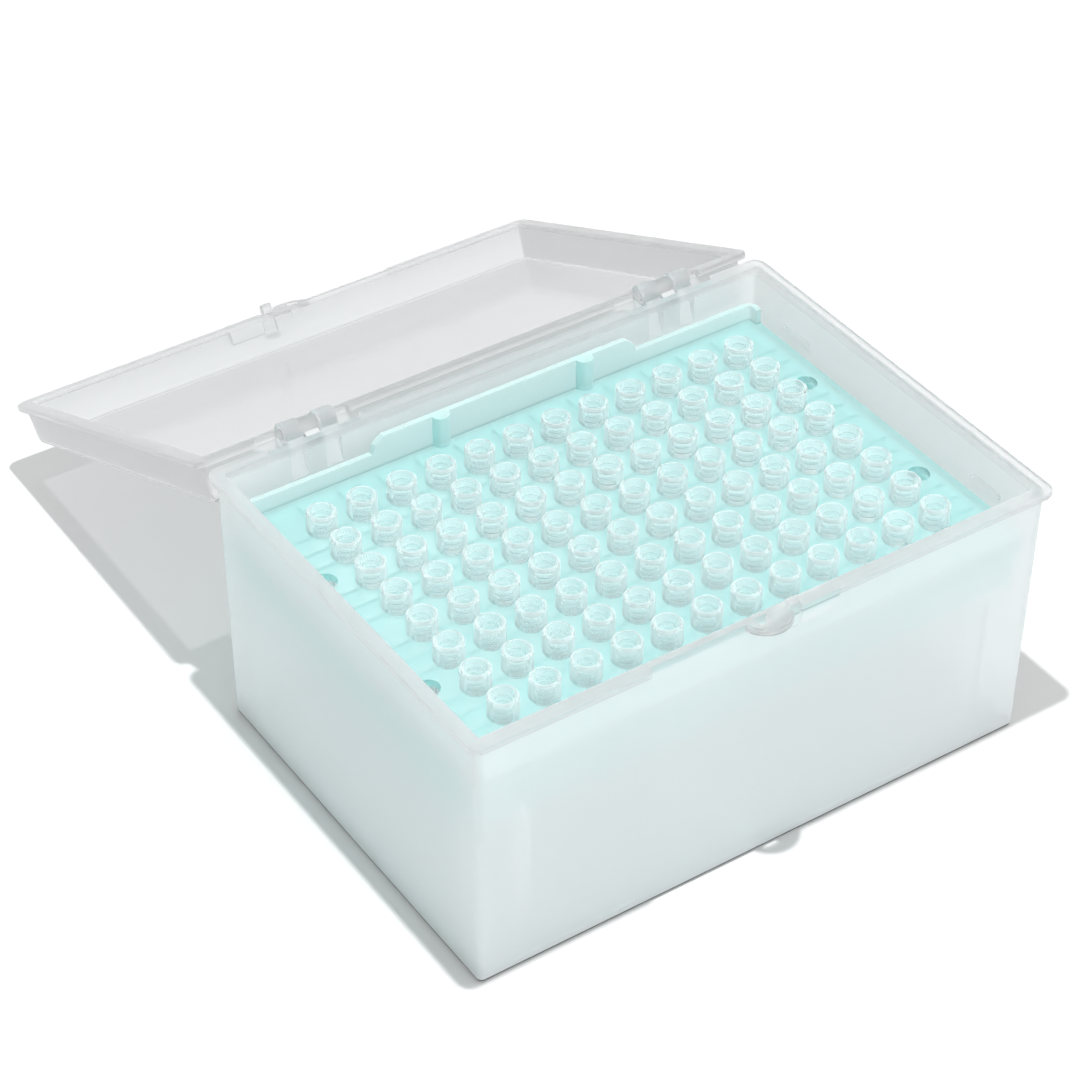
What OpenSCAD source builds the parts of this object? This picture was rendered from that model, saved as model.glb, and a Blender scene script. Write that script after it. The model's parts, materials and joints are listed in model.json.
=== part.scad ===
// Rack box of pipette tips: a moulded base with a clip-hinged lid, a drop-in
// tray and a full 12 by 8 grid of tips. Lengths are in millimetres. The origin
// is the middle of the base's underside, +Z is up, the hinge is on the +Y side
// and the clasp is on the -Y side.

/* [Base box] */
// Outside length of the walls at the rim
base_l = 129; // [124:0.1:140]
// Outside width of the walls at the rim
base_w = 91.6; // [87:0.1:104]
// Height of the rim above the table
base_h = 60.5; // [56:0.5:90]
// Thickness of every moulded wall of the base and the lid
wall_t = 1.5; // [1:0.1:1.8]
// Thickness of the floor
floor_t = 1.5; // [1:0.1:2.5]
// How far each wall leans in between the rim and the floor
base_draft = 0.6; // [0.2:0.1:1.2]
// Radius of the upright corners
corner_r = 1.8; // [1.6:0.1:5]
// Depth of the hollow inside the foot ring under the floor
foot_recess = 0.6; // [0.2:0.1:0.8]
// Width of the foot ring
foot_w = 2.4; // [1.5:0.1:4]

/* [Rim] */
// How far the rim flange stands out from the wall
rim_out = 1.4; // [0.8:0.1:2]
// Radius of the flange's corners
rim_r = 2.6; // [2:0.1:6]
// Thickness of the rim flange
rim_t = 1.4; // [0.8:0.1:1.6]
// Radius of the flange's outer edges
rim_edge_r = 0.35; // [0.1:0.05:0.35]
// Gap between the two rims when the box is shut
rim_gap = 0.2; // [0.1:0.05:0.4]

/* [Lid] */
// Depth of the lid from its rim to its outside face
lid_depth = 9.8; // [8:0.1:20]
// How far each lid wall leans in
lid_draft = 0.9; // [0.2:0.1:1.5]
// Radius of the edge around the lid's outside face
lid_edge_r = 1.8; // [1:0.1:3]
// Angle between the shut lid and the lid resting open
open_angle = 204.5; // [185:0.5:212]

/* [Hinges] */
// Middle of each hinge from the middle of the box
hinge_x = 42.3; // [30:0.1:50]
// Distance from the back wall to the hinge pin
hinge_out = 3; // [2.8:0.1:4]
// Height of the hinge pin above the base's rim
hinge_up = 0.3; // [0.2:0.1:1]
// Diameter of the hinge pin
pin_d = 2.2; // [1.8:0.1:2.4]
// Running clearance around the pin, on the radius
pin_clear = 0.08; // [0.04:0.01:0.1]
// Width of each hook that holds the pin
hook_w = 3.6; // [3:0.1:5.5]
// Length of the lid's knuckle between two hooks
knuckle_l = 3.8; // [3:0.1:6]
// Side gap between the knuckle and a hook
knuckle_gap = 0.2; // [0.15:0.05:0.5]
// Gap between the lid's stop heel and the back wall when it rests open
stop_gap = 0.15; // [0.05:0.05:0.3]

/* [Clasp] */
// Radius of the half-round finger lip
lip_r = 5.4; // [5.2:0.1:6]
// Thickness of the finger lip
lip_t = 1.4; // [1:0.1:2]
// Thickness of the clasp's upright tongue
tongue_t = 1.7; // [1.4:0.1:2]
// Width of the upright tongue
tongue_w = 2.2; // [1.8:0.1:3.2]
// How far the tongue reaches past its own rim
tongue_reach = 2; // [1.5:0.1:3.5]
// Clearance around the tongue in the other half's slot
tongue_clear = 0.25; // [0.15:0.05:0.4]
// Length of the thick pad beside the tongue
pad_l = 8.5; // [6:0.1:12]
// Depth of the thick pad
pad_h = 4.2; // [2.5:0.1:5]

/* [Tray] */
// Height of the tray's top face above the table
tray_top = 49.4; // [40:0.1:80]
// Thickness of the tray's plate
plate_t = 1.6; // [1.2:0.1:2.4]
// Gap between the tray's ends and the short walls
tray_gap_x = 1.2; // [0.3:0.1:1.6]
// Gap between the tray's sides and the long walls
tray_gap_y = 0.8; // [0.3:0.1:1.2]
// Depth of the tray from its top face to its lower edge
tray_depth = 12.2; // [9:0.1:20]
// Depth of the tray's outer band before the skirt steps in
band_h = 4.2; // [3:0.1:6]
// Step inwards from the band to the skirt
skirt_step = 1.3; // [0.8:0.1:2]
// Thickness of the tray's frame, skirt and back fence
skirt_t = 1.2; // [0.9:0.1:1.6]
// Depth of the ribs under the tray's plate
rib_depth = 2.4; // [1:0.1:2.5]
// Thickness of those ribs
rib_t = 0.9; // [0.6:0.1:1.4]
// Diameter of the lifting holes beside the end columns
lift_d = 4.6; // [4:0.1:5.4]
// Height of the fence along the tray's back edge
fence_h = 3.5; // [2:0.1:5]
// Height of the raised middle of the fence
fence_mid_h = 7.1; // [5:0.1:9]
// Length of the raised middle of the fence
fence_mid_l = 61; // [40:1:80]
// Gap between the tray and the ribs it stands on
seat_gap = 0.1; // [0.05:0.05:0.3]

/* [Tips] */
// Pitch of the tip grid
pitch = 9; // [9:0.1:9.5]
// Number of tips along the box
cols = 12; // [12:1:12]
// Number of tips across the box
rows = 8; // [8:1:8]
// Height of the collar above the tray
collar_h = 4.7; // [4:0.1:7]
// Diameter of the socket at the mouth of a tip
mouth_d = 4.7; // [4.2:0.1:5.7]
// Wall of a tip just under its collar
tip_wall = 0.57; // [0.4:0.01:0.7]
// How far a collar rests on the tray around its hole
collar_land = 0.3; // [0.2:0.05:0.6]
// Length of a tip from its mouth to its point
tip_l = 50; // [44:0.5:50]
// Clearance between a tip's neck and its hole in the tray, on the radius
hole_clear = 0.25; // [0.1:0.05:0.4]

/* [Hidden] */

fine = 48;      // segments on corners and pins
tip_fn = 32;    // segments around a tip
lap = 0.5;      // overlap that joins two features of one moulding

// Hinge line
hinge_y = base_w / 2 + hinge_out;
hinge_z = base_h + hinge_up;
bore_d = pin_d + 2 * pin_clear;
hook_r = bore_d / 2 + 1.2;
knuckle_r = pin_d / 2 + 0.8;
hook_x = knuckle_l / 2 + knuckle_gap + hook_w / 2;   // from the hinge's middle
pin_l = 2 * (hook_x + hook_w / 2) + 0.5;
hinge_zone = pin_l + 8.8;                            // break in the back flange

// Lid, in its shut place
lid_z = base_h + rim_gap;
lid_top = lid_z + lid_depth;

// Clasp: each half has a lip, a tongue and a pad, and the lid's are the mirror
// image of the base's, so each tongue drops through the other half's lip.
lip_x = -1.6;                                        // middle of the base's lip
tongue_x = 3.25;                                     // middle of the base's tongue
pad_x0 = tongue_x + tongue_w / 2 + 0.85;
clasp_x0 = -27.7;                                    // ends of the flange's break
clasp_x1 = pad_x0 + pad_l - 0.9;
slot_x = -tongue_x;                                  // middle of the base's slot
tongue_y0 = -base_w / 2 + 0.3;                       // inner face of the tongue
tongue_y1 = tongue_y0 - tongue_t;                    // outer face of the tongue

// Tray
tray_l = base_l - 2 * (wall_t + tray_gap_x);
tray_w = base_w - 2 * (wall_t + tray_gap_y);
tray_r = 2;
tray_bottom = tray_top - tray_depth;
grid_x = (cols - 1) / 2 * pitch;
grid_y = (rows - 1) / 2 * pitch;
neck_d = mouth_d - 0.84 + 2 * tip_wall;              // tip just under its collar
hole_d = neck_d + 2 * hole_clear;
collar_d = hole_d + 2 * collar_land;
lift_x = grid_x + 7.3;                               // middle of a lifting hole
rest_z = tray_bottom - seat_gap;

tip_z = tray_top + seat_gap;                         // where the collars stand
tip_lower = collar_h - tip_l;                        // the point, from tip_z

// ---------------------------------------------------------------- shapes

// Rectangle with true arcs at its corners.
module round_rect(l, w, r) {
    square([l - 2 * r, w], center = true);
    square([l, w - 2 * r], center = true);
    for (sx = [-1, 1], sy = [-1, 1])
        translate([sx * (l / 2 - r), sy * (w / 2 - r)]) circle(r, $fn = fine);
}

// Thin slice of a box whose walls lean, inset from the outline by d.
module slice(l, w, r, z, d) {
    translate([0, 0, z]) linear_extrude(0.01)
        round_rect(l - 2 * d, w - 2 * d, max(r - d, 0.4));
}

// Box with leaning walls and a rounded edge at its small end, which is at z = 0.
module drafted_box(l, w, r, h, draft, edge_r) {
    hull() {
        for (a = [0, 30, 60, 90])
            slice(l, w, r, edge_r * (1 - sin(a)), draft + edge_r * (1 - cos(a)));
        slice(l, w, r, h - 0.01, 0);
    }
}

// Section of the flange, x outwards from the wall, its outer edges rounded.
module flange_section() {
    translate([-lap, 0]) square([lap + rim_out - rim_edge_r, rim_t]);
    translate([0, rim_edge_r]) square([rim_out, rim_t - 2 * rim_edge_r]);
    for (z = [rim_edge_r, rim_t - rim_edge_r])
        translate([rim_out - rim_edge_r, z]) circle(rim_edge_r, $fn = 24);
}

// Flange around a wall from z upwards: four straight runs and four turns.
module flange(z) {
    half_l = base_l / 2 + rim_out - rim_r;
    half_w = base_w / 2 + rim_out - rim_r;
    translate([0, 0, z]) {
        for (m = [0, 1]) {
            mirror([0, m, 0]) translate([-half_l, base_w / 2, 0]) rotate([90, 0, 90])
                linear_extrude(2 * half_l) flange_section();
            mirror([m, 0, 0]) translate([base_l / 2, half_w, 0]) rotate([90, 0, 0])
                linear_extrude(2 * half_w) flange_section();
            for (n = [0, 1])
                mirror([m, 0, 0]) mirror([0, n, 0]) translate([half_l, half_w, 0])
                    rotate_extrude(angle = 90, $fn = fine) intersection() {
                        translate([rim_r - rim_out, 0]) flange_section();
                        square([rim_r + 1, rim_t]);
                    }
        }
    }
}

// What is cut from a flange between x0 and x1 on one long side. Each end of
// the break leaves a rounded end on the flange that remains.
module flange_break(x0, x1, side) {
    y0 = base_w / 2;
    r = rim_out;
    difference() {
        translate([x0 - r, side > 0 ? y0 : -y0 - 2 * r, base_h - 10])
            cube([x1 - x0 + 2 * r, 2 * r, 20]);
        for (x = [x0 - r, x1 + r])
            translate([x, side * y0, base_h - 11]) cylinder(r = r, h = 22, $fn = fine);
    }
}

// Profile given as points (y, z), extruded to the width w about the place x.
module profile_x(x, w, pts) {
    translate([x + w / 2, 0, 0]) rotate([0, -90, 0]) linear_extrude(w)
        polygon([for (p = pts) [p[1], p[0]]]);
}

// Round bar along X about the place x.
module bar_x(x, l, d, y, z) {
    translate([x - l / 2, y, z]) rotate([0, 90, 0]) cylinder(d = d, h = l, $fn = fine);
}

// ---------------------------------------------------------------- clasp

// One half of the clasp, rim face up at z = 0, outside face on -Y. The base
// has it as it is, and the lid has its mirror image.
module clasp_half() {
    y0 = -base_w / 2;
    // half-round finger lip, with a step along its outer edge
    intersection() {
        union() {
            translate([lip_x, y0 + 1.2, -lip_t]) cylinder(r = lip_r, h = lip_t - 0.3, $fn = 64);
            translate([lip_x, y0 + 1.2, -lip_t]) cylinder(r = lip_r - 0.4, h = lip_t, $fn = 64);
        }
        translate([lip_x - lip_r, y0 - lip_r, -lip_t])
            cube([2 * lip_r, lip_r + lap, lip_t]);
    }
    // upright tongue, with a sloped foot and a chamfered nose
    profile_x(tongue_x, tongue_w, [
        [y0 + lap, -5.8], [y0, -5.8], [tongue_y1 + 0.4, -4.6], [tongue_y1, -4],
        [tongue_y1, tongue_reach - 0.7], [tongue_y1 + 0.6, tongue_reach],
        [tongue_y0 - 0.4, tongue_reach], [tongue_y0, tongue_reach - 0.4],
        [tongue_y0, -0.05], [y0 + lap, -0.05]]);
    // root that joins the tongue to the pad
    profile_x((tongue_x - tongue_w / 2 + pad_x0 + 0.2) / 2, pad_x0 + 0.2 - tongue_x + tongue_w / 2, [
        [y0 + lap, -5.4], [y0, -5.4], [tongue_y1 + 0.5, -4.4], [tongue_y1 + 0.3, -3.8],
        [tongue_y1 + 0.3, -0.9], [tongue_y1 + 0.7, -0.4], [y0 + lap, -0.4]]);
    // thick pad beside the tongue
    translate([pad_x0 - 0.1, y0 - rim_out, -pad_h]) cube([pad_l, rim_out + lap, pad_h]);
}

// What the other half's tongue needs clear: a slot through the lip, carried
// on as a shallow pocket in the wall under it.
module clasp_slot() {
    translate([slot_x - tongue_w / 2 - tongue_clear, tongue_y1 - tongue_clear,
            -tongue_reach - 0.5])
        cube([tongue_w + 2 * tongue_clear, tongue_t + 2 * tongue_clear, tongue_reach + 1.5]);
}

// ---------------------------------------------------------------- base

// Hook that holds one end of a hinge pin, with the gusset that carries it.
// The mouth of the hook is narrower than the pin, so the pin snaps in.
module hinge_hook(x) {
    y0 = base_w / 2;
    difference() {
        union() {
            bar_x(x, hook_w, 2 * hook_r, hinge_y, hinge_z);
            profile_x(x, hook_w, [
                [y0 - lap, base_h - 8.4], [y0 + 0.3, base_h - 8.4],
                [hinge_y + 1.5, hinge_z - 2.6], [hinge_y + hook_r - 0.1, hinge_z - 1],
                [hinge_y, hinge_z], [hinge_y - hook_r + 0.2, base_h - 0.05],
                [y0 - lap, base_h - 0.05]]);
        }
        bar_x(x, hook_w + 1, bore_d, hinge_y, hinge_z);
        translate([x - hook_w / 2 - lap, hinge_y, hinge_z]) rotate([-38, 0, 0])
            translate([0, -pin_d * 0.42, 0]) cube([hook_w + 2 * lap, pin_d * 0.84, hook_r + 1]);
    }
}

// Upright ribs on the inside of the walls that the tray stands on.
module tray_ribs() {
    in_l = base_l / 2 - wall_t;
    in_w = base_w / 2 - wall_t;
    reach = skirt_step + skirt_t;
    rib = 1.1;
    for (sx = [-1, 1], sy = [-1, 1]) {
        translate([sx * (grid_x + 3.5) - rib / 2, sy > 0 ? in_w - tray_gap_y - reach : -in_w - lap,
                floor_t - lap])
            cube([rib, tray_gap_y + reach + lap, rest_z - floor_t + lap]);
        translate([sx > 0 ? in_l - tray_gap_x - reach : -in_l - lap,
                sy * (grid_y + 6.5) - rib / 2, floor_t - lap])
            cube([tray_gap_x + reach + lap, rib, rest_z - floor_t + lap]);
    }
}

// Low beads inside the short walls that keep the tray down.
module tray_beads() {
    for (sx = [-1, 1], y = [-31, 29])
        translate([sx * (base_l / 2 - wall_t), y - 4.2, base_h - 8.4]) intersection() {
            rotate([-90, 0, 0]) cylinder(d = 1.3, h = 8.4, $fn = 24);
            translate([sx > 0 ? -2 : -lap, 0, -2]) cube([2 + lap, 8.4, 4]);
        }
}

module base() {
    color([0.90, 0.93, 0.93, 0.55]) union() {
        difference() {
            union() {
                difference() {
                    drafted_box(base_l, base_w, corner_r, base_h, base_draft, 0.9);
                    translate([0, 0, floor_t + foot_recess])
                        drafted_box(base_l - 2 * wall_t, base_w - 2 * wall_t,
                            corner_r - wall_t, base_h, base_draft, 1.2);
                }
                difference() {
                    flange(base_h - rim_t);
                    flange_break(clasp_x0, clasp_x1, -1);
                    for (s = [-1, 1])
                        flange_break(s * hinge_x - hinge_zone / 2,
                            s * hinge_x + hinge_zone / 2, 1);
                }
                translate([0, 0, base_h]) clasp_half();
            }
            // hollow inside the foot ring, parted by two ribs that cross
            translate([0, 0, -1]) linear_extrude(1 + foot_recess) difference() {
                round_rect(base_l - 2 * (base_draft + foot_w), base_w - 2 * (base_draft + foot_w),
                    corner_r);
                square([base_l, foot_w], center = true);
                square([foot_w, base_w], center = true);
            }
            translate([0, 0, base_h]) clasp_slot();
        }
        tray_ribs();
        tray_beads();
        for (s = [-1, 1], t = [-1, 1]) hinge_hook(s * hinge_x + t * hook_x);
    }
}

// ---------------------------------------------------------------- lid

// Knuckle, pin and stop heel of one hinge, in the shut place.
module lid_knuckle(x) {
    y0 = base_w / 2;
    bar_x(x, pin_l, pin_d, hinge_y, hinge_z);
    bar_x(x, knuckle_l, 2 * knuckle_r, hinge_y, hinge_z);
    // arm to the lid's back wall, a little narrower than the knuckle
    profile_x(x, knuckle_l - 0.4, [
        [y0 - lap - 0.2, lid_z + 0.05], [hinge_y - 1.2, lid_z + 0.05],
        [hinge_y, hinge_z + 0.2], [hinge_y + 0.6, hinge_z + knuckle_r * 0.9],
        [y0 + 0.4, lid_z + 7.4], [y0 - lap - 0.5, lid_z + 7.4]]);
    // heel that meets the back wall when the lid rests open
    translate([0, hinge_y, hinge_z]) rotate([open_angle, 0, 0])
        profile_x(x, knuckle_l - 0.8, [
            [-hinge_out + stop_gap, -hinge_up - 0.3], [-hinge_out + stop_gap, -2.7],
            [-0.6, -1.6], [0.6, 0], [-1, 0.6]]);
}

// The lid in its shut place, rim down.
module shut_lid() {
    difference() {
        union() {
            difference() {
                translate([0, 0, lid_top]) mirror([0, 0, 1])
                    drafted_box(base_l, base_w, corner_r, lid_depth, lid_draft, lid_edge_r);
                translate([0, 0, lid_top - wall_t]) mirror([0, 0, 1])
                    drafted_box(base_l - 2 * wall_t, base_w - 2 * wall_t,
                        corner_r - wall_t, lid_depth, lid_draft, 1);
            }
            difference() {
                flange(lid_z);
                mirror([1, 0, 0]) flange_break(clasp_x0, clasp_x1, -1);
                for (s = [-1, 1])
                    flange_break(s * hinge_x - hinge_zone / 2,
                        s * hinge_x + hinge_zone / 2, 1);
            }
            translate([0, 0, lid_z]) mirror([0, 0, 1]) mirror([1, 0, 0]) clasp_half();
        }
        translate([0, 0, lid_z]) mirror([0, 0, 1]) mirror([1, 0, 0]) clasp_slot();
    }
    for (s = [-1, 1]) lid_knuckle(s * hinge_x);
}

module lid() {
    color([0.90, 0.92, 0.93, 0.55])
        translate([0, hinge_y, hinge_z]) rotate([-open_angle, 0, 0])
            translate([0, -hinge_y, -hinge_z]) shut_lid();
}

// ---------------------------------------------------------------- tray

// Band of the tray's outline, t thick, from z0 to z1 and inset by d.
module tray_band(d, t, z0, z1) {
    translate([0, 0, z0]) linear_extrude(z1 - z0) difference() {
        round_rect(tray_l - 2 * d, tray_w - 2 * d, max(tray_r - d, 0.5));
        round_rect(tray_l - 2 * (d + t), tray_w - 2 * (d + t), 0.5);
    }
}

// Fence along the back edge: low at the ends, raised and chamfered mid-way.
module tray_fence() {
    intersection() {
        tray_band(0, skirt_t, tray_top - lap, tray_top + fence_mid_h);
        translate([0, tray_w / 2 + 1, 0]) rotate([90, 0, 0]) linear_extrude(4.5)
            polygon([
                [-tray_l / 2, tray_top - 1], [tray_l / 2, tray_top - 1],
                [tray_l / 2, tray_top + fence_h],
                [fence_mid_l / 2 + 1, tray_top + fence_h],
                [fence_mid_l / 2 + 0.4, tray_top + fence_mid_h - 1.6],
                [fence_mid_l / 2 - 1.6, tray_top + fence_mid_h],
                [-fence_mid_l / 2 + 1.6, tray_top + fence_mid_h],
                [-fence_mid_l / 2 - 0.4, tray_top + fence_mid_h - 1.6],
                [-fence_mid_l / 2 - 1, tray_top + fence_h],
                [-tray_l / 2, tray_top + fence_h]]);
    }
    // two half-round posts that stiffen the raised part
    for (x = [-15.7, 18.6])
        translate([x, tray_w / 2 - skirt_t, tray_top]) intersection() {
            cylinder(d = 3.8, h = fence_mid_h, $fn = 32);
            translate([-3, -3, 0]) cube([6, 3 + skirt_t / 2, fence_mid_h]);
        }
}

// Ribs under the plate: one under each column and row of holes, and more
// half-way between some of them. The holes cut through them.
module tray_underribs() {
    reach_x = tray_l / 2 - skirt_step - skirt_t;
    reach_y = tray_w / 2 - skirt_step - skirt_t;
    module along_y(x) translate([x - rib_t / 2, -reach_y, tray_top - plate_t - rib_depth])
        cube([rib_t, 2 * reach_y, rib_depth + lap]);
    module along_x(y) translate([-reach_x, y - rib_t / 2, tray_top - plate_t - rib_depth])
        cube([2 * reach_x, rib_t, rib_depth + lap]);
    for (i = [0:cols - 1]) along_y(i * pitch - grid_x);
    for (k = [-4:2:4]) along_y(k * pitch);
    for (j = [0:rows - 1]) along_x(j * pitch - grid_y);
    for (k = [-3:2:3]) along_x(k * pitch);
}

// The tray is one moulding. Its plate and its frame are two solids here, which
// meet face to face all round.
module tray() {
    color([0.62, 0.90, 0.88, 0.85]) difference() {
        union() {
            translate([0, 0, tray_top - plate_t]) linear_extrude(plate_t)
                round_rect(tray_l - 2 * skirt_t, tray_w - 2 * skirt_t, 0.5);
            tray_underribs();
        }
        // holes for the tips
        for (i = [0:cols - 1], j = [0:rows - 1])
            translate([i * pitch - grid_x, j * pitch - grid_y, tray_top - plate_t - 5])
                cylinder(d = hole_d, h = plate_t + 10, $fn = tip_fn);
        // lifting holes beside the end columns
        for (sx = [-1, 1], sy = [-1, 1])
            translate([sx * lift_x, sy * 2 * pitch, tray_top - plate_t - 5])
                cylinder(d = lift_d, h = plate_t + 10, $fn = tip_fn);
    }
}

// Frame around the plate, with the skirt under it and the fence behind.
module tray_frame() {
    color([0.62, 0.90, 0.88, 0.85]) union() {
        tray_band(0, skirt_t, tray_top - band_h, tray_top);
        tray_band(skirt_t - 0.3, skirt_step + 0.3, tray_top - band_h, tray_top - band_h + 1);
        tray_band(skirt_step, skirt_t, tray_bottom, tray_top - band_h + lap);
        tray_fence();
        // outside ribs on the skirt
        for (sy = [-1, 1], x = [-4 * pitch, -2 * pitch, 2 * pitch, 4 * pitch])
            translate([x - 0.7, sy > 0 ? tray_w / 2 - skirt_step - lap : -tray_w / 2 + 0.1, tray_bottom])
                cube([1.4, skirt_step + lap - 0.1, tray_depth - band_h + lap]);
    }
}

// ---------------------------------------------------------------- tips

// Outline of one tip from its point to its mouth, as (radius, height) with
// the collar standing on height 0. The socket has three low sealing rings.
function tip_outer() = [
    [0.42, tip_lower], [0.55, tip_lower + 1.6], [neck_d / 2 - 0.55, -14.6], [neck_d / 2 - 0.2, -13.2],
    [neck_d / 2 - 0.1, -1.2], [neck_d / 2, 0], [collar_d / 2 - 0.35, 0],
    [collar_d / 2, 0.4], [collar_d / 2, collar_h - 0.35], [collar_d / 2 - 0.3, collar_h]];
function sealing_ring(z, r) = [[r + 0.02, z + 0.35], [r - 0.14, z], [r - 0.02, z - 0.35]];
function tip_inner() = concat(
    [[mouth_d / 2, collar_h], [mouth_d / 2 - 0.2, collar_h - 0.8]],
    sealing_ring(3.3, mouth_d / 2 - 0.3), sealing_ring(2.0, mouth_d / 2 - 0.36),
    sealing_ring(0.7, mouth_d / 2 - 0.42),
    [[mouth_d / 2 - 0.7, -12.6], [neck_d / 2 - 1, -14.6], [0.2, tip_lower]]);

// One column of tips, across the box.
module tips_column(i) {
    color([0.88, 0.95, 0.95, 0.45])
        for (j = [0:rows - 1])
            translate([i * pitch - grid_x, j * pitch - grid_y, tip_z])
                rotate_extrude($fn = tip_fn) polygon(concat(tip_outer(), tip_inner()));
}

module tips_column_01() { tips_column(0); }
module tips_column_02() { tips_column(1); }
module tips_column_03() { tips_column(2); }
module tips_column_04() { tips_column(3); }
module tips_column_05() { tips_column(4); }
module tips_column_06() { tips_column(5); }
module tips_column_07() { tips_column(6); }
module tips_column_08() { tips_column(7); }
module tips_column_09() { tips_column(8); }
module tips_column_10() { tips_column(9); }
module tips_column_11() { tips_column(10); }
module tips_column_12() { tips_column(11); }

base();
lid();
tray();
tray_frame();
tips_column_01();
tips_column_02();
tips_column_03();
tips_column_04();
tips_column_05();
tips_column_06();
tips_column_07();
tips_column_08();
tips_column_09();
tips_column_10();
tips_column_11();
tips_column_12();
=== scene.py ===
import json
import math

import bpy
from bpy.props import FloatProperty, FloatVectorProperty, PointerProperty
from mathutils import Matrix, Vector


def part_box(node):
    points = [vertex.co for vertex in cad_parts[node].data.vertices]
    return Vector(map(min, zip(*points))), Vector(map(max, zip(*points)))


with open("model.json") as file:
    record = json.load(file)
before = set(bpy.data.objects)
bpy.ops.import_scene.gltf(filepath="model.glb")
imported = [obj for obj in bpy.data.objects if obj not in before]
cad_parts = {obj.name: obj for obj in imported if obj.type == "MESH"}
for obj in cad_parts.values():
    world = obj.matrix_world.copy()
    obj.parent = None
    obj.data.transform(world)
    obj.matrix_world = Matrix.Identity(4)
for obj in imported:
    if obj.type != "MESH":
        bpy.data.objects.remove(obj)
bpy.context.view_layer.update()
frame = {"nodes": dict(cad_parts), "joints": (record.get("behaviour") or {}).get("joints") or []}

bl_info = {
    "name": "Pipette Tip Box",
    "version": (1, 0, 0),
    "blender": (4, 5, 0),
    "location": "View3D > Sidebar > Tip Box",
    "description": "Finishes for a frosted rack box of pipette tips, and a white table to show it on",
    "category": "Object",
}

BASE_LOW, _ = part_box("base")
TRAY = sorted(n for n in frame["nodes"] if n.startswith("tray"))
COLUMNS = sorted(n for n in frame["nodes"] if n.startswith("tips_column"))
MM = 0.001

# Outer faces of the walls at the rim, from the middle of the box
HALF_LENGTH = 64.5 * MM
HALF_WIDTH = 45.8 * MM

# Where one finish gives way to the next. Each pair is the start and the end of the change:
# first measured outwards from those faces, then up from the table with the lid shut.
OUTSIDE = (-1.35 * MM, -0.9 * MM)
WALL = (-2.2 * MM, -1.7 * MM)
FLANGE = (1.0 * MM, 1.2 * MM)
# BASE_FOOT also marks the band where the base's bottom edge is darkened by a painted contact shadow.
BASE_FOOT = (1.0 * MM, 0.7 * MM)
BASE_LOWER_WALL = (18 * MM, 2 * MM)
BASE_RIM = (58.6 * MM, 59.0 * MM)
# The band on the wall just under the flange, darkened by a painted shade line.
UNDER_FLANGE_LOW = (58.95 * MM, 59.1 * MM)
UNDER_FLANGE_HIGH = (59.55 * MM, 59.25 * MM)
LID_RIM = (61.8 * MM, 61.4 * MM)
LID_TOP = (69.4 * MM, 70.2 * MM)
LID_CORNER = (69.8 * MM, 70.4 * MM)
TRAY_FENCE = (49.2 * MM, 50.2 * MM)

# Colours of the moulded plastics. glass tints what shines through. straight, side and soft tint the
# light that goes on past: a lamp's through a face, a lamp's through an outside wall, and bounced light.
BASE_PLASTIC = {
    "glass": (0.975, 0.988, 0.988),
    "straight": (0.62, 0.63, 0.64),
    "side": (0.04, 0.04, 0.04),
    "soft": (0.975, 0.98, 0.98),
}
LID_PLASTIC = {
    "glass": (0.93, 0.935, 0.94),
    "straight": (0.46, 0.46, 0.465),
    "side": (0.06, 0.06, 0.06),
    "soft": (0.93, 0.93, 0.935),
}
RIM_GLASS = (0.90, 0.90, 0.905)
# Near-black teal of the painted shade: a painted contact shadow along the base's bottom edge and a painted
# shade line under the flange.
PAINTED_CONTACT_SHADE = (0.1, 0.13, 0.13)
SOFT_AT_FOOT = (0.35, 0.35, 0.35)
SOFT_LOW_DOWN = (0.72, 0.72, 0.72)
TRAY_GLASS = (0.93, 0.99, 0.99)
TRAY_DYE = (0.35, 0.95, 0.94)
PALE_FENCE = (0.96, 1.0, 0.995)
TIP_MILK = (0.93, 0.985, 0.99)
BLACK = (0, 0, 0)
WHITE = (1, 1, 1)

PLASTIC_IOR = 1.49      # polypropylene
TIP_IOR = 1.24          # thin walls bend the light less than a solid cone would
INSIDE_ROUGH = 0.13
INSIDE_MILK = 0.2
RIM_MILK_LOSS = 0.82
FORWARD_SHARE = 0.3     # of the scattered light, what comes out on the far side
DEEPEST = 5.5           # bounces after which light just goes straight on


# ---------------------------------------------------------------- node writing


class Wire:
    """A socket in a material's node tree. Sums written on it add Math nodes."""

    def __init__(self, paint, socket):
        self.paint = paint
        self.socket = socket

    def maths(self, operation, *values):
        return self.paint.add("ShaderNodeMath", {"operation": operation}, *values)

    def __add__(self, other):
        return self.maths("ADD", self, other)

    def __radd__(self, other):
        return self.maths("ADD", other, self)

    def __sub__(self, other):
        return self.maths("SUBTRACT", self, other)

    def __rsub__(self, other):
        return self.maths("SUBTRACT", other, self)

    def __mul__(self, other):
        return self.maths("MULTIPLY", self, other)

    def __rmul__(self, other):
        return self.maths("MULTIPLY", other, self)

    def __pow__(self, other):
        return self.maths("POWER", self, other)

    def __gt__(self, other):
        return self.maths("GREATER_THAN", self, other)

    def __abs__(self):
        return self.maths("ABSOLUTE", self)

    def most(self, other):
        return self.maths("MAXIMUM", self, other)

    def ramp(self, start, end):
        """A smooth step from 0 at start to 1 at end."""
        return self.paint.add("ShaderNodeMapRange", {"interpolation_type": "SMOOTHSTEP"},
                              self, start, end)


def socket(sockets, key):
    """One of a node's sockets, by its place, or by its name or identifier with _ for a space."""
    if isinstance(key, int):
        return sockets[key]
    return next(s for s in sockets if key in (s.identifier, s.name, s.name.replace(" ", "_")))


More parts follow.
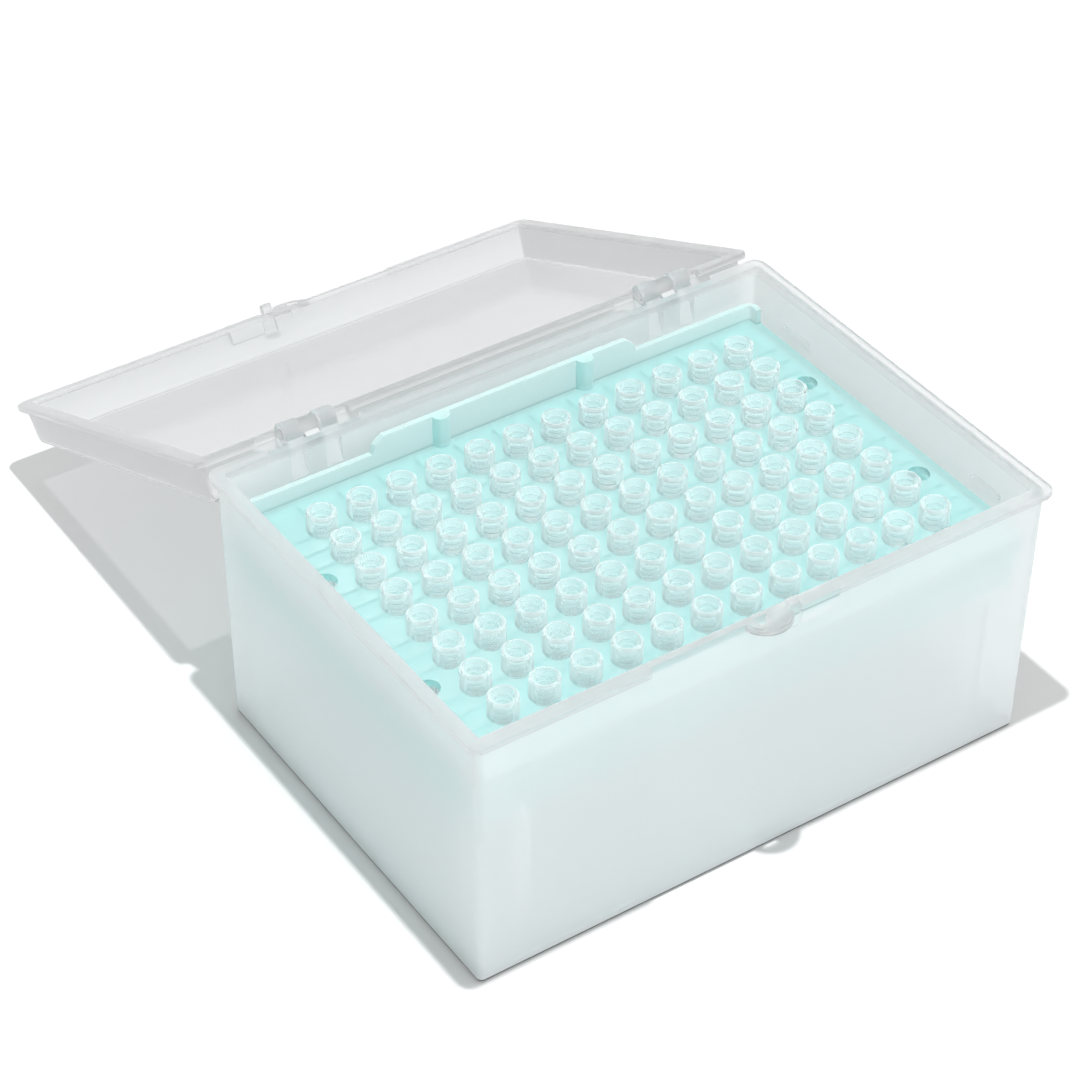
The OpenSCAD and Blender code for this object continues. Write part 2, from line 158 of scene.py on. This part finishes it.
class Paint:
    """A material, or another block with nodes, being written one node at a time."""

    def __init__(self, block):
        self.block = bpy.data.materials.new(block) if isinstance(block, str) else block
        self.block.use_nodes = True
        self.tree = self.block.node_tree
        self.tree.nodes.clear()

    def add(self, kind, settings=None, *values, out=0, **named):
        """A node of this kind: its settings first, then values or links by place or by socket name.

        Gives the output called out, or a list of them where out is a tuple.
        """
        node = self.tree.nodes.new(kind)
        for key, value in (settings or {}).items():
            setattr(node, key, value)
        for key, value in [*enumerate(values), *named.items()]:
            if isinstance(value, Wire):
                self.tree.links.new(value.socket, socket(node.inputs, key))
            elif isinstance(value, tuple) and socket(node.inputs, key).type == "RGBA":
                socket(node.inputs, key).default_value = (*value, 1)
            elif value is not None:
                socket(node.inputs, key).default_value = value
        if isinstance(out, tuple):
            return [Wire(self, socket(node.outputs, key)) for key in out]
        return Wire(self, socket(node.outputs, out))

    def blend(self, share, a, b):
        """Colour a where share is 0 and colour b where it is 1."""
        return self.add("ShaderNodeMix", {"data_type": "RGBA"}, out="Result_Color",
                        Factor_Float=share, A_Color=a, B_Color=b)

    def mix(self, share, a, b):
        """Shader a where share is 0 and shader b where it is 1."""
        return self.add("ShaderNodeMixShader", None, share, a, b)

    def split(self, vector):
        """The three parts of a vector."""
        return self.add("ShaderNodeSeparateXYZ", None, vector, out=("X", "Y", "Z"))

    def place(self, coordinates="Object"):
        """Where a point is, in these coordinates."""
        return self.add("ShaderNodeTexCoord", out=coordinates)

    def noise(self, place, scale):
        """A fine, even noise from 0 to 1."""
        return self.add("ShaderNodeTexNoise", None, Vector=place, Scale=scale, Detail=1.0, out="Fac")

    def bump(self, height, strength):
        """The normal over a surface that rises by up to 0.1 mm with height."""
        return self.add("ShaderNodeBump", None, Strength=strength, Distance=0.1 * MM, Height=height)

    def facing(self):
        """0 where a surface is seen face on and 1 where it is seen edge on."""
        return self.add("ShaderNodeLayerWeight", None, Blend=0.5, out="Facing")

    def path(self, *kinds):
        """1 on rays of any of these kinds."""
        first, *others = [self.add("ShaderNodeLightPath", out=f"Is {kind} Ray") for kind in kinds]
        for other in others:
            first = first.most(other)
        return first

    def glass(self, colour, rough, ior, normal):
        """Plastic that light goes through."""
        return self.add("ShaderNodeBsdfPrincipled", None, Base_Color=colour, Roughness=rough, IOR=ior,
                        Transmission_Weight=1.0, Normal=normal)

    def milk(self, colour, normal):
        """Light scattered inside a plastic, some of it back and some of it on through."""
        back = self.add("ShaderNodeBsdfDiffuse", None, Color=colour, Normal=normal)
        ahead = self.add("ShaderNodeBsdfTranslucent", None, Color=colour, Normal=normal)
        return self.mix(FORWARD_SHARE, back, ahead)

    def pane(self, colour):
        """A sheet that light passes straight through, tinted."""
        return self.add("ShaderNodeBsdfTransparent", None, Color=colour)

    def finish(self, surface, volume=None, kind="Material"):
        """Ends the tree in its output and gives the finished block."""
        self.add(f"ShaderNodeOutput{kind}", None, out=(), Surface=surface, Volume=volume)
        return self.block


# ---------------------------------------------------------------- sizes and colours


class TipBoxFinish(bpy.types.PropertyGroup):
    """Colours and surface values of the moulded plastics."""

    base_colour: FloatVectorProperty(
        name="Base", description="Colour that the base's walls give to the light in them",
        default=(0.945, 0.99, 1.0), subtype="COLOR", min=0, max=1)
    lid_colour: FloatVectorProperty(
        name="Lid", description="Colour that the lid's walls give to the light in them",
        default=(0.72, 0.725, 0.73), subtype="COLOR", min=0, max=1)
    milk: FloatProperty(
        name="Milkiness", description="Share of the light that the matte faces scatter",
        default=0.6, min=0, max=1, subtype="FACTOR")
    matte_rough: FloatProperty(
        name="Matte outside", description="Roughness of the matte outside faces",
        default=0.4, min=0, max=1, subtype="FACTOR")
    tray_colour: FloatVectorProperty(
        name="Tray", description="Colour of the tray",
        default=(0.5615, 0.719, 0.714), subtype="COLOR", min=0, max=1)
    tip_colour: FloatVectorProperty(
        name="Tips", description="Tint of the clear tips",
        default=(0.975, 0.985, 0.985), subtype="COLOR", min=0, max=1)


class TipBoxStage(bpy.types.PropertyGroup):
    """The table, the lamp and the camera."""

    lamp_place: FloatVectorProperty(
        name="Lamp", description="Place of the lamp over the box",
        default=(-0.054, -0.061, 0.562), subtype="TRANSLATION", unit="LENGTH")
    lamp_radius: FloatProperty(
        name="Lamp radius", description="Radius of the lamp, which softens the shadows",
        default=0.006, unit="LENGTH", min=0.001, max=0.5)
    lamp_level: FloatProperty(
        name="Lamp level", description="Power of the lamp in watts", default=11.4, min=0, max=100)
    sky_level: FloatProperty(
        name="Room level", description="Strength of the even white light all round",
        default=1.04, min=0, max=2)
    table_grey: FloatProperty(
        name="Table", description="Share of the light that the table gives back",
        default=0.59, min=0, max=1, subtype="FACTOR")


# ---------------------------------------------------------------- finishes


def let_through(p, surface, straight, edge, soft):
    """The surface as it is seen, but light goes straight on through it.

    A lamp's light takes the pane straight face on and edge at a grazing angle. Bounced light takes soft.
    """
    deep = p.add("ShaderNodeLightPath", out="Ray Depth") > DEEPEST
    lit = p.mix(p.path("Shadow"), surface, p.mix(p.facing() ** 2, straight, edge))
    return p.mix(p.path("Diffuse").most(deep), lit, soft)


def frosted(name, finish, colour, plastic, shut=None):
    """Natural polypropylene with a matte outside and a smoother inside.

    shut is the centre and the angle that turn a lid's points to its shut place.
    """
    p = Paint(name)
    place = p.place()
    if shut is not None:
        centre, angle = shut
        place = p.add("ShaderNodeVectorRotate", {"rotation_type": "X_AXIS"},
                      Vector=place, Center=centre, Angle=angle)
    x, y, z = p.split(place)
    out = (abs(x) - HALF_LENGTH).most(abs(y) - HALF_WIDTH)
    wall = out.ramp(*WALL)
    if shut is None:
        foot = z.ramp(*BASE_FOOT)
        rim = z.ramp(*BASE_RIM)
        matte = out.ramp(*OUTSIDE).most(rim)
    else:
        foot = z.ramp(*LID_CORNER) * wall
        rim = z.ramp(*LID_RIM)
        matte = out.ramp(*OUTSIDE).most(z.ramp(*LID_TOP)).most(rim)

    normal = p.bump(p.noise(place, 420.0), 0.12)
    rough = INSIDE_ROUGH + matte * (finish.matte_rough - INSIDE_ROUGH) + (p.noise(place, 28.0) - 0.5) * 0.05
    tint = p.blend(rim, plastic["glass"], RIM_GLASS)
    milk = p.milk(colour, normal)
    soft = p.pane(plastic["soft"])
    if shut is None:
        # Painted shade: the base's glass tint and milk darken to near-black teal along its bottom edge (a
        # painted contact shadow) and in a thin line on the wall under the flange.
        under_flange = z.ramp(*UNDER_FLANGE_HIGH) * z.ramp(*UNDER_FLANGE_LOW) * out.ramp(*FLANGE)
        painted_shade = foot.most(under_flange * 0.5)
        tint = p.blend(painted_shade, tint, PAINTED_CONTACT_SHADE)
        milk = p.mix(painted_shade, milk, p.milk(PAINTED_CONTACT_SHADE, normal))
        soft = p.mix(z.ramp(*BASE_LOWER_WALL) * wall, soft, p.pane(SOFT_LOW_DOWN))
    share = (INSIDE_MILK + matte * (finish.milk - INSIDE_MILK)) * (1 - RIM_MILK_LOSS * rim)
    body = p.mix(share, p.glass(tint, rough, PLASTIC_IOR, normal), milk)
    straight = p.mix(wall, p.pane(plastic["straight"]), p.pane(plastic["side"]))
    soft = p.mix(foot, soft, p.pane(SOFT_AT_FOOT))
    return p.finish(let_through(p, body, straight, p.pane(BLACK), soft))


def teal(name, finish):
    """Teal polypropylene of the tray, which is pale where it is thin and deep along its edges."""
    p = Paint(name)
    place = p.place()
    normal = p.bump(p.noise(place, 500.0), 0.1)
    glass = p.glass(TRAY_GLASS, 0.12 + p.noise(place, 60.0) * 0.08, PLASTIC_IOR, normal)
    _, _, z = p.split(place)
    plate = p.milk(tuple(finish.tray_colour), normal)
    milk = p.mix(z.ramp(*TRAY_FENCE), plate, p.milk(PALE_FENCE, normal))
    body = p.mix(0.4, glass, milk)
    straight, edge, soft = p.pane((0.90, 0.93, 0.93)), p.pane((0.5, 0.7, 0.7)), p.pane((0.98, 0.99, 0.99))
    dye = p.add("ShaderNodeVolumeAbsorption", None, Color=TRAY_DYE, Density=230.0)
    return p.finish(let_through(p, body, straight, edge, soft), dye)


def clear(name, finish):
    """Clear polypropylene of the tips, which looks milkier edge on."""
    p = Paint(name)
    cloud = p.noise(p.place(), 150.0)
    normal = p.bump(cloud, 0.05)
    glass = p.glass(tuple(finish.tip_colour), 0.17 + cloud * 0.05, TIP_IOR, normal)
    body = p.mix(0.22 + 0.22 * p.facing() ** 2, glass, p.milk(TIP_MILK, normal))
    straight, edge, soft = p.pane((0.95, 0.97, 0.97)), p.pane((0.68, 0.8, 0.8)), p.pane((0.997, 0.998, 0.998))
    return p.finish(let_through(p, body, straight, edge, soft))


def white_table(grey):
    """A white table that keeps the box's shadow and brightens a little towards the distance."""
    p = Paint("white_table")
    top = p.add("ShaderNodeBsdfDiffuse", None, Color=(grey, grey, grey))
    distance = p.add("ShaderNodeVectorMath", {"operation": "LENGTH"}, p.place(), out="Value")
    seen = p.path("Camera", "Glossy", "Transmission")
    dark, bright = (p.add("ShaderNodeEmission", None, Color=c, Strength=1.0) for c in (BLACK, WHITE))
    glow = p.mix(seen * (0.03 + distance.ramp(0.12, 0.6) * 0.4), dark, bright)
    return p.finish(p.add("ShaderNodeAddShader", None, top, glow))


def white_room(level):
    """A room that looks white, and lights the box a little more from the right and the front."""
    world = bpy.data.worlds.new("white_room")
    p = Paint(world)
    x, y, _ = p.split(p.place("Generated"))
    room = level * (1 + 0.72 * x - 0.55 * y)
    strength = 1 + p.path("Diffuse") * (room - 1)
    return p.finish(p.add("ShaderNodeBackground", None, Color=WHITE, Strength=strength), kind="World")


def put_on(node, material):
    """Gives a CAD node one material all over."""
    mesh = frame["nodes"][node].data
    mesh.materials.clear()
    mesh.materials.append(material)


# ---------------------------------------------------------------- pieces


class TIPBOX_OT_base(bpy.types.Operator):
    """Gives the base its frosted finish"""

    bl_idname = "tipbox.base"
    bl_label = "Base"

    def execute(self, context):
        finish = context.scene.tip_box_finish
        put_on("base", frosted("frosted_base", finish, tuple(finish.base_colour), BASE_PLASTIC))
        return {"FINISHED"}


class TIPBOX_OT_lid(bpy.types.Operator):
    """Gives the lid its frosted finish"""

    bl_idname = "tipbox.lid"
    bl_label = "Lid"

    def execute(self, context):
        hinge = frame["joints"][0]
        shut = (tuple(hinge["pos_m"]), math.radians(hinge["range_deg"][1]))
        finish = context.scene.tip_box_finish
        put_on("lid", frosted("frosted_lid", finish, tuple(finish.lid_colour), LID_PLASTIC, shut))
        return {"FINISHED"}


class TIPBOX_OT_tray(bpy.types.Operator):
    """Gives the tray its teal finish"""

    bl_idname = "tipbox.tray"
    bl_label = "Tray"

    def execute(self, context):
        material = teal("teal_tray", context.scene.tip_box_finish)
        for name in TRAY:
            put_on(name, material)
        return {"FINISHED"}


class TIPBOX_OT_tips(bpy.types.Operator):
    """Gives the tips their clear finish"""

    bl_idname = "tipbox.tips"
    bl_label = "Tips"

    def execute(self, context):
        material = clear("clear_tips", context.scene.tip_box_finish)
        for name in COLUMNS:
            put_on(name, material)
        return {"FINISHED"}


class TIPBOX_OT_stage(bpy.types.Operator):
    """Adds the white table, the light and the camera"""

    bl_idname = "tipbox.stage"
    bl_label = "Stage"

    def execute(self, context):
        scene = context.scene
        values = scene.tip_box_stage

        mesh = bpy.data.meshes.new("table")
        mesh.from_pydata([(-4, -4, 0), (4, -4, 0), (4, 4, 0), (-4, 4, 0)], [], [(0, 1, 2, 3)])
        mesh.materials.append(white_table(values.table_grey))
        table = bpy.data.objects.new("table", mesh)
        table.location.z = BASE_LOW.z
        scene.collection.objects.link(table)

        scene.world = white_room(values.sky_level)
        light = bpy.data.lights.new("lamp", "POINT")
        light.energy = values.lamp_level
        light.shadow_soft_size = values.lamp_radius
        lamp = bpy.data.objects.new("lamp", light)
        lamp.location = values.lamp_place
        lamp.visible_glossy = lamp.visible_transmission = False
        scene.collection.objects.link(lamp)

        data = bpy.data.cameras.new("camera")
        data.sensor_width = 36
        data.lens = 105.9
        data.clip_start = 0.01
        camera = bpy.data.objects.new("camera", data)
        right = Vector((0.83037, -0.5572, 0.00339))
        up = Vector((0.34961, 0.52573, 0.77549))
        back = Vector((-0.43389, -0.64276, 0.63135))
        turn = Matrix((right, up, back)).transposed().to_4x4()
        camera.matrix_world = Matrix.Translation((-0.27945, -0.38366, 0.43211)) @ turn
        scene.collection.objects.link(camera)
        scene.camera = camera

        scene.view_settings.view_transform = "Standard"
        scene.cycles.max_bounces = 16
        scene.cycles.transmission_bounces = 16
        scene.cycles.transparent_max_bounces = 22
        return {"FINISHED"}


class TIPBOX_PT_panel(bpy.types.Panel):
    """Lists the steps in the sidebar"""

    bl_idname = "TIPBOX_PT_panel"
    bl_label = "Tip Box"
    bl_space_type = "VIEW_3D"
    bl_region_type = "UI"
    bl_category = "Tip Box"

    def draw(self, context):
        for step in STEPS:
            self.layout.operator(step.bl_idname)
        for group in (context.scene.tip_box_finish, context.scene.tip_box_stage):
            column = self.layout.column()
            for key in group.__annotations__:
                column.prop(group, key)


STEPS = (TIPBOX_OT_stage, TIPBOX_OT_base, TIPBOX_OT_lid, TIPBOX_OT_tray, TIPBOX_OT_tips)
CLASSES = (TipBoxFinish, TipBoxStage, *STEPS, TIPBOX_PT_panel)


def register():
    for cls in CLASSES:
        bpy.utils.register_class(cls)
    bpy.types.Scene.tip_box_finish = PointerProperty(type=TipBoxFinish)
    bpy.types.Scene.tip_box_stage = PointerProperty(type=TipBoxStage)


def unregister():
    del bpy.types.Scene.tip_box_stage
    del bpy.types.Scene.tip_box_finish
    for cls in reversed(CLASSES):
        bpy.utils.unregister_class(cls)


def main():
    register()
    for step in STEPS:
        group, name = step.bl_idname.split(".")
        if getattr(getattr(bpy.ops, group), name)() != {"FINISHED"}:
            raise RuntimeError(f"{step.bl_label} didn't finish")


if __name__ == "__main__":
    main()
